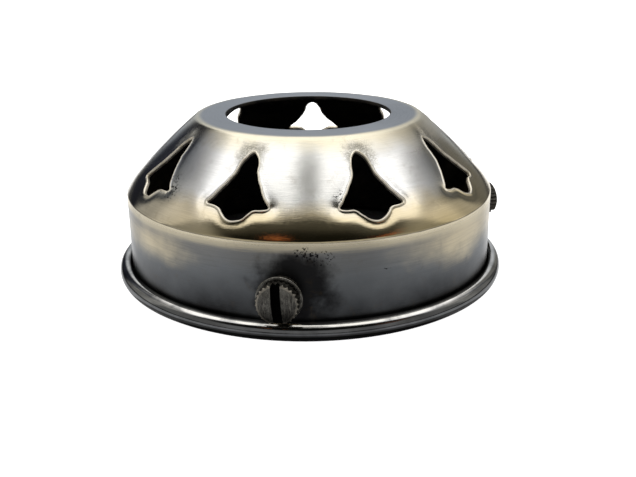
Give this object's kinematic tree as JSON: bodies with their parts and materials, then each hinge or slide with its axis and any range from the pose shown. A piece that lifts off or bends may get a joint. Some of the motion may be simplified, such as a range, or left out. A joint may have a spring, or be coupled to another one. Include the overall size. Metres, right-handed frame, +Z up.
{
  "type": "lamp shade gallery",
  "caption": "Pierced brass shade gallery: a conical shoulder on a straight skirt with a curled rim, a lampholder hole in its top, and knurled slotted screws that grip a glass shade.",
  "frame": {"origin": "middle of the lampholder hole, at the upper face of the top", "axes": "+Z up the gallery's axis to the lampholder hole; +Y towards the vent at the back, so -Y points midway between the front vents"},
  "size_m": [0.0707, 0.0713, 0.0278],
  "materials": {
    "antique_brass": "satin, brushed round the axis, with darkened brown and gunmetal patina under clear lacquer",
    "plain_brass": "plain turned brass, slightly tarnished",
    "dark_bronze_washer": "darkened, smooth, half gloss",
    "dark_bronze": "darkened, knurled, half gloss with bright worn crests"
  },
  "bodies": {
    "gallery": {"gallery_shell": "antique_brass", "screw_bush_front": "plain_brass", "screw_bush_right": "plain_brass", "screw_bush_left": "plain_brass"},
    "washer_front": {"washer_front": "dark_bronze_washer"},
    "screw_front": {"thumb_screw_front": "dark_bronze"},
    "washer_right": {"washer_right": "dark_bronze_washer"},
    "screw_right": {"thumb_screw_right": "dark_bronze"},
    "washer_left": {"washer_left": "dark_bronze_washer"},
    "screw_left": {"thumb_screw_left": "dark_bronze"}
  },
  "joints": [
    {"name": "screw_front_travel", "type": "slide", "parent": "gallery", "child": "washer_front", "axis": [-0.1115, -0.9938, 0], "range_m": [-0.0016, 0.0035]},
    {"name": "screw_front_turn", "type": "hinge", "parent": "washer_front", "child": "screw_front", "pos_m": [-0.00378, -0.03369, -0.02055], "axis": [-0.1115, -0.9938, 0], "range_deg": [-1159.2, 2527.2]},
    {"name": "screw_right_travel", "type": "slide", "parent": "gallery", "child": "washer_right", "axis": [0.9164, 0.4003, 0], "range_m": [-0.0036, 0.0015]},
    {"name": "screw_right_turn", "type": "hinge", "parent": "washer_right", "child": "screw_right", "pos_m": [0.0329, 0.01437, -0.02055], "axis": [0.9164, 0.4003, 0], "range_deg": [-2599.2, 1087.2]},
    {"name": "screw_left_travel", "type": "slide", "parent": "gallery", "child": "washer_left", "axis": [-0.8049, 0.5934, 0], "range_m": [-0.0027, 0.0024]},
    {"name": "screw_left_turn", "type": "hinge", "parent": "washer_left", "child": "screw_left", "pos_m": [-0.02817, 0.02077, -0.02055], "axis": [-0.8049, 0.5934, 0], "range_deg": [-1951.2, 1735.2]}
  ],
  "couplings": [
    {"joint": "screw_front_turn", "follows": "screw_front_travel", "rad_per_m": 12566},
    {"joint": "screw_right_turn", "follows": "screw_right_travel", "rad_per_m": 12566},
    {"joint": "screw_left_turn", "follows": "screw_left_travel", "rad_per_m": 12566}
  ]
}
